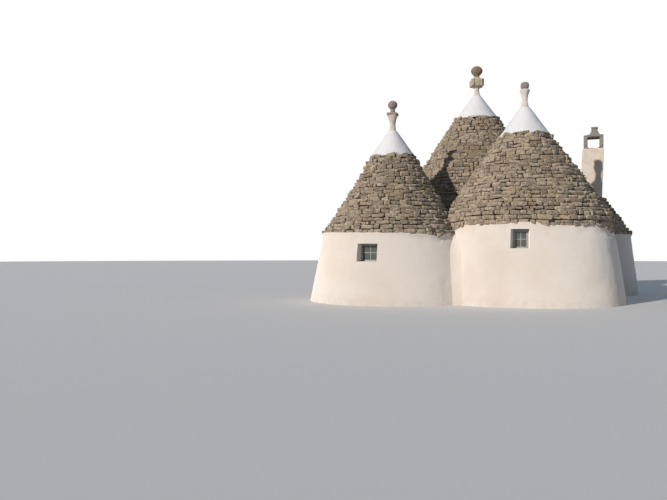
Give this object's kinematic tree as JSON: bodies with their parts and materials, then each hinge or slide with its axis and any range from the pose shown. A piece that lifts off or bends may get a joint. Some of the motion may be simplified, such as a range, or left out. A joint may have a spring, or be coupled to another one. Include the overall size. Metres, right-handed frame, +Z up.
{
  "type": "trullo house",
  "caption": "Dry-stone house of joined round rooms under stepped conical stone roofs, with plaster caps, carved pinnacles, a fireplace alcove and a hooded chimney.",
  "frame": {"origin": "middle of the house's bounding rectangle on the ground", "axes": "+Z up, +Y from the front with the two windows to the back with the door, +X to the right seen from the front"},
  "size_m": [11.2998, 11.1498, 8.9951],
  "materials": {
    "whitewash": "lumpy lime-washed masonry, matt",
    "lime_cap": "smooth white lime plaster, matt",
    "roof_stone": "weathered grey-brown limestone slabs, rough",
    "dome_stone": "rough corbelled limestone",
    "pale_stone": "pale carved limestone, weathered",
    "brown_stone": "weathered brown limestone, rough",
    "hood_stone": "grey weathered stone",
    "floor_stone": "worn limestone paving",
    "window_paint": "pale grey-green painted timber",
    "window_glass": "dull window glass",
    "door_wood": "dark weathered timber"
  },
  "bodies": {
    "root": {"right_wall_front": "whitewash", "right_wall_side": "whitewash", "right_wall_back": "whitewash", "right_wall_inner": "whitewash", "right_wall_left": "whitewash", "left_wall_front": "whitewash", "left_wall_right": "whitewash", "left_wall_back": "whitewash", "left_wall_side": "whitewash", "rear_wall_back_right": "whitewash", "rear_wall_back_left": "whitewash", "rear_wall_left": "whitewash", "rear_wall_inner_left": "whitewash", "rear_wall_inner_right": "whitewash", "rear_door_arch": "whitewash", "alcove_wall": "whitewash", "floor": "floor_stone", "right_dome": "dome_stone", "left_dome": "dome_stone", "rear_dome": "dome_stone", "right_roof": "roof_stone", "left_roof": "roof_stone", "rear_roof": "roof_stone", "alcove_roof": "roof_stone", "right_cap": "lime_cap", "left_cap": "lime_cap", "rear_cap": "lime_cap", "right_pinnacle_vase": "pale_stone", "right_pinnacle_ball": "brown_stone", "left_pinnacle_vase": "pale_stone", "left_pinnacle_slab": "pale_stone", "left_pinnacle_ball": "brown_stone", "rear_pinnacle_neck": "pale_stone", "rear_pinnacle_cross": "pale_stone", "rear_pinnacle_ball": "brown_stone", "chimney_stack": "whitewash", "chimney_posts": "hood_stone", "chimney_hood": "hood_stone", "chimney_finial": "hood_stone", "window_frames": "window_paint", "window_panes": "window_glass", "door_frame": "door_wood", "door_leaf": "door_wood", "door_sill": "floor_stone"}
  },
  "joints": []
}
